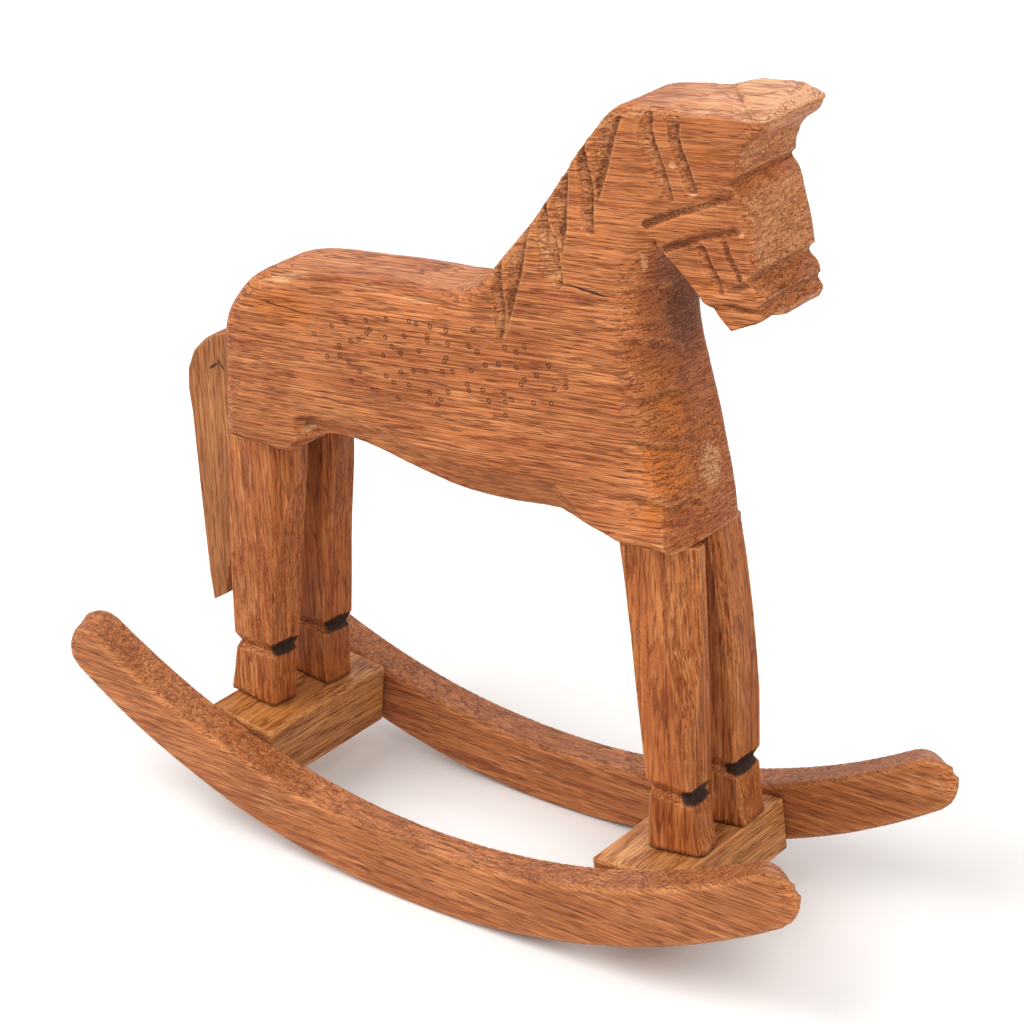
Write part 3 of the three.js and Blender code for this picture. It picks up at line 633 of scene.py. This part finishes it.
def buildHorse():
    piece = carvedCopy("horse_body", horse["voxel"])
    chamfered = shapeHorse(piece)
    points = readPoints(piece)
    x, y, z = points.T
    normals = readPoints(piece, "normal")
    share = horse["share"]
    layers = {name: spotMask(points, horse[name]) for name in ("pale", "ochre", "dark", "torn", "knots")}
    # floors of the cuts in the mane, found by how deep they lie under the side
    under = np.interp(z, *horse["halfWidth"]) - np.abs(y)
    begins, sure, fades, ends = horse["cutFloor"]
    carved = ramp(under, begins, sure) * ramp(under, ends, fades)
    carved *= inHorse(points, "mane") * (1 - inHorse(points, "throat"))
    paint(layers, "torn", carved * (0.3 + 0.7 * lumps(points, (6, 6, 6), 8)))
    paint(layers, "pale", share["cutPale"] * carved)
    # saw-cut top of the forelock and poll, nearly bare of stain, and a rubbed face
    headTop = inHorse(points, "headTop") * ramp(normals[:, 2], 0.75, 0.9)
    crease = horse["crease"]
    past = x + crease["slope"] * y - crease["x"]    # mm past the slanting edge
    paint(layers, "pale", headTop * (share["pollPale"] + share["forelockPale"] * ramp(past, -0.3, 0.3)))
    facing = inHorse(points, "face") * ramp(normals[:, 0], 0.5, 0.8)
    paint(layers, "pale", share["facePale"] * facing)
    paint(layers, "ochre", share["faceOchre"] * facing)
    # the chamfer and the side of the head are burnished by the knife
    paint(layers, "pared", share["chamferPared"] * chamfered)
    paint(layers, "pared", share["headPared"] * inHorse(points, "head"))
    paint(layers, "dark", share["chamferDark"] * chamfered)
    onFace = inHorse(points, "faceCuts") * ramp(normals[:, 0], 0.3, 0.6)
    layers["wear"] = 1 - (1 - share["faceWear"]) * onFace
    depth = horse["waviness"] * lumps(points, (18, 10, 10), 3)
    depth += horse["fineWaviness"] * lumps(points, (6, 1.7, 1.7), 4)
    # knife facets down the right front edge of the chest, a line of torn grain under each
    facet = horse["facet"]
    edge = inHorse(points, "facets")
    wander = facet["drift"] * lumps(points, (16, 9, 14), 5)
    turn = (z + facet["lean"] * y + wander) / facet["height"]
    part = turn - np.floor(turn)
    peak = facet["peak"]
    depth += facet["depth"] * edge * np.where(part < peak, part / peak, (1 - part) / (1 - peak))
    # paler ochre on the knife facets: bare wood where the knife cut through the stain, and painted light
    # on the facets' upward slopes that face the lamps
    bareAndLit = edge * inHorse(points, "facetsBareAndLit") * ramp(part, 0.05, 0.2)
    paint(layers, "ochre", bareAndLit * ramp(lumps(points, (9, 9, 9), 12), 0.2, 0.5))
    step = edge * ramp(part, 0.8, 0.88) * ramp(part, 1.0, 0.97) * lumps(points, (2, 2, 2), 13)
    paint(layers, "dark", step)
    paint(layers, "torn", step)
    depth += horse["tornDepth"] * layers["torn"] * lumps(points, (1.9, 1.9, 1.9), 6)
    depth += crease["step"] * headTop * ramp(past, -6, -0.4) * ramp(past, 0.4, -0.4)
    depth += horse["faceWaviness"] * inHorse(points, "faceBelow") * lumps(points, (9, 7, 5), 9)
    depth += spotMask(points, horse["scoops"])
    # the faces that the legs are glued to stay where they are
    held, free, top = horse["contact"]
    overLegs = (np.abs(x) > 49) * (z < top)
    sinkIn(piece, depth * (1 - overLegs * ramp(z - bellyUnder(points), free, held)))
    material = hardwood("carved and stained hardwood, grain along", {**stainedWood, **horse["look"]}, "X")
    finish(piece, material, "horse_body", layers)


buildHorse()


# Legs: each has a burnt mark in the front of its fetlock notch and amber glue round its foot

legs = {
    "voxel": 0.5,
    "waviness": 0.22,
    "glueHeight": 1.1,
    "glueLine": 0.3,         # mm, how far the top is carried up to the body
    "notch": (13, 15, 18.5),     # mm over the foot: where the stain in the notch begins, peaks, ends
    "burnSize": (5.2, 8.5, 3.2),
    # the legs' wood colours are darker than the body's: painted shade, standing in for the shade under
    # the body
    "look": {"layers": "Y", "spread": 3, "light": "#c47a40", "middle": "#a55a2a", "end": "#82401c"},
    "names": {
        "rear_right_leg": {"burn": (-63.5, -9, 46.2), "foot": (-68.8, 28.7, -0.1206)},
        "rear_left_leg": {"burn": (-60.2, 9.5, 46.2), "foot": (-68.8, 28.7, -0.1206)},
        "front_right_leg": {"burn": (72.2, -9, 43.6), "foot": (62.8, 26.2, 0.1104)},
        "front_left_leg": {"burn": (72.8, 10.5, 43.6), "foot": (62.8, 26.2, 0.1104)},
    },
}


def buildLegs():
    for number, (node, leg) in enumerate(legs["names"].items()):
        piece = carvedCopy(node, legs["voxel"])
        points = readPoints(piece)
        x, y, z = points.T
        points[:, 2] += legs["glueLine"] * ramp(z, z.max() - 3, z.max() - 0.2)
        writePoints(piece, points)
        footX, footTop, slope = leg["foot"]
        above = z - footTop - slope * (x - footX)
        outer = 0.4 + 0.6 * ramp(-readPoints(piece, "normal")[:, 1], 0.6, 0.8)
        starts, peaks, ends = legs["notch"]
        glue = ramp(above, legs["glueHeight"] + 0.8, legs["glueHeight"] - 0.6)
        layers = {
            "dark": np.maximum(glue, 0.3 * ramp(above, starts, peaks) * ramp(above, ends, peaks)),
            "burnt": spotMask(points, ((leg["burn"], legs["burnSize"], 0, 1.5),)),
            "torn": 0.3 * ramp(lumps(points, (7, 7, 22), 50 + number), 0.5, 0.7),
            "pale": 0.28 * ramp(lumps(points, (5, 5, 34), 60 + number), 0.3, 0.6) * outer,
        }
        depth = legs["waviness"] * lumps(points, (6, 6, 14), 11 + number)
        depth += 0.25 * layers["torn"] * lumps(points, (1.6, 1.6, 3), 30 + number)
        sinkIn(piece, depth * ramp(z, z.max() - 0.1, z.max() - 1.2) * ramp(above, 0.1, 1))
        look = {**stainedWood, **legs["look"]}
        material = hardwood("planed and stained hardwood, " + node, look, "Z", (37 * number, 11, 5))
        finish(piece, material, node, layers)


buildLegs()


# Tail

tail = {
    "voxel": 0.5,
    "waviness": 0.18,
    "look": {"layers": "X", "spread": 3, "light": "#c68851", "middle": "#aa6a3b", "dark": "#7f421d",
             "cracks": (((-88.5, -3.8, 122.3), 2.6, 0.45, 35), ((-85.8, -3.8, 123.2), 2.0, 0.4, -50))},
}


def buildTail():
    piece = carvedCopy("tail", tail["voxel"])
    points = readPoints(piece)
    sinkIn(piece, tail["waviness"] * lumps(points, (8, 8, 18), 71))
    look = {**stainedWood, **tail["look"]}
    material = hardwood("sawn and stained hardwood, tail", look, "Z", (5, 83, 9))
    finish(piece, material, "tail", {"dark": 0.3 * ramp(points[:, 0], -81, -78)})


buildTail()


# Cross blocks: paler, with the stain and glue gathered round the feet

blocks = {
    "voxel": 0.6,
    "waviness": 0.16,
    "look": {
        "light": "#d0945a", "middle": "#b06e36", "dark": "#7f4118", "end": "#9a5a2c", "poreGap": 0.8,
    },
    "names": {
        "rear_cross_block": {
            "dark": (
                ((-73.9, -9.1, 29.6), (11.5, 7, 3), 0, 1.0),
                ((-71, 10, 29), (11.5, 7, 3), 0, 1.0),
            ),
            "torn": (((-58, 0, 27), (4, 24, 3), 0, 0.8),),
        },
        "front_cross_block": {
            "dark": (
                ((67, -9, 26.4), (10.5, 7, 3), 0, 1.0),
                ((67.5, 11, 26.6), (10.5, 8, 3), 0, 1.0),
            ),
            "torn": (((76, 0, 22), (3, 24, 6), 0, 0.35),),
        },
    },
}


def buildBlocks():
    for number, (node, block) in enumerate(blocks["names"].items()):
        piece = carvedCopy(node, blocks["voxel"])
        points = readPoints(piece)
        layers = {name: spotMask(points, block[name]) for name in ("dark", "torn")}
        depth = blocks["waviness"] * lumps(points, (9, 12, 9), 81 + number)
        sinkIn(piece, depth + 0.4 * layers["torn"] * lumps(points, (1.7, 2.6, 1.7), 85))
        look = {**stainedWood, **blocks["look"]}
        material = hardwood("sawn and stained hardwood, " + node, look, "Y", (3, 29 * number, 41))
        finish(piece, material, node, layers)


buildBlocks()


# Rockers: bandsawn, so the upper edge is fuzzier and takes more stain than the faces

rockers = {
    "voxel": 0.7,
    "waviness": 0.22,
    "sawMark": 0.1,          # mm, ripple that the saw left along the upper edge
    "look": {"light": "#ca824e", "middle": "#ae6638", "dark": "#793a18", "spread": 4},
}


def buildRockers():
    for number, node in enumerate(("right_rocker", "left_rocker")):
        piece = carvedCopy(node, rockers["voxel"])
        points = readPoints(piece)
        top = ramp(readPoints(piece, "normal")[:, 2], 0.5, 0.8)
        x = points[:, 0]
        layers = {
            "dark": 0.35 * top,
            "torn": 0.3 * top,
            "pale": 0.3 * ramp(lumps(points, (30, 12, 6), 95 + number), 0.6, 0.8) * (1 - top),
        }
        depth = rockers["waviness"] * lumps(points, (22, 10, 10), 91 + number)
        depth += rockers["sawMark"] * top * (0.5 + 0.5 * np.sin(x * 2 * math.pi / 2.4))
        sinkIn(piece, depth * ramp(points[:, 2], 0.2, 2))
        look = {**stainedWood, **rockers["look"]}
        material = hardwood("bandsawn and stained hardwood, " + node, look, "X", (11, 57 * number, 23))
        finish(piece, material, node, layers)


buildRockers()
